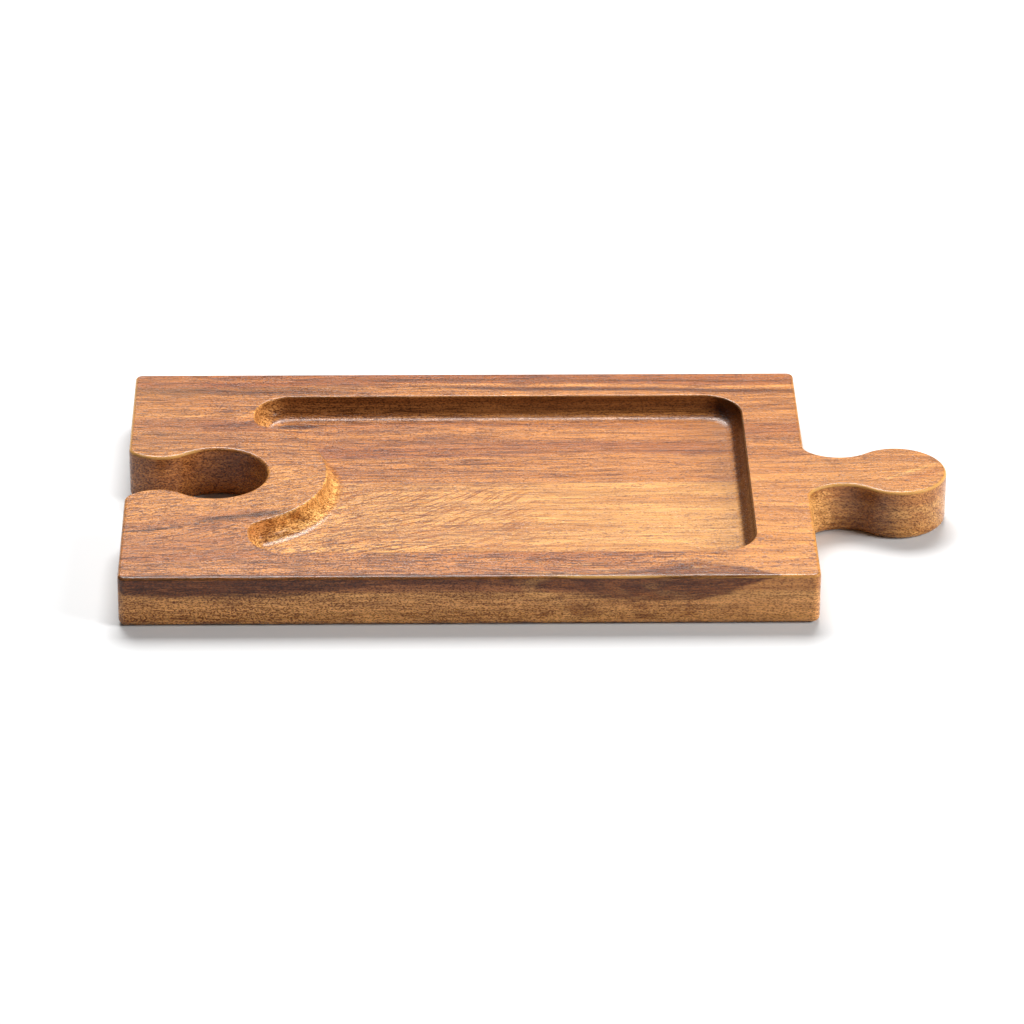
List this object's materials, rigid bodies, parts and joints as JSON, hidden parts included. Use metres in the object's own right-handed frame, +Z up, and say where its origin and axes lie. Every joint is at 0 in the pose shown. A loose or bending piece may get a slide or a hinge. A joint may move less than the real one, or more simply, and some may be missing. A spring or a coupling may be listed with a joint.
{
  "type": "chip and dip server",
  "caption": "Wooden serving board shaped like a jigsaw piece, with a sunken food tray, a knobbed tab at one end and a matching socket at the other.",
  "frame": {"origin": "on the underside, below the middle of the slab (the tab not counted)", "axes": "+X along the grain towards the tab, +Y towards the back edge, +Z up out of the tray"},
  "size_m": [0.3835, 0.204, 0.025],
  "materials": {
    "back_wood": "oiled acacia, satin, red-brown with dark bands near the edge",
    "front_wood": "oiled acacia, satin, golden with a dark heartwood band along the front edge",
    "glue": "cured wood glue, thin and dark"
  },
  "bodies": {
    "root": {"back_stave": "back_wood", "front_stave": "front_wood", "glue_line": "glue"}
  },
  "joints": []
}
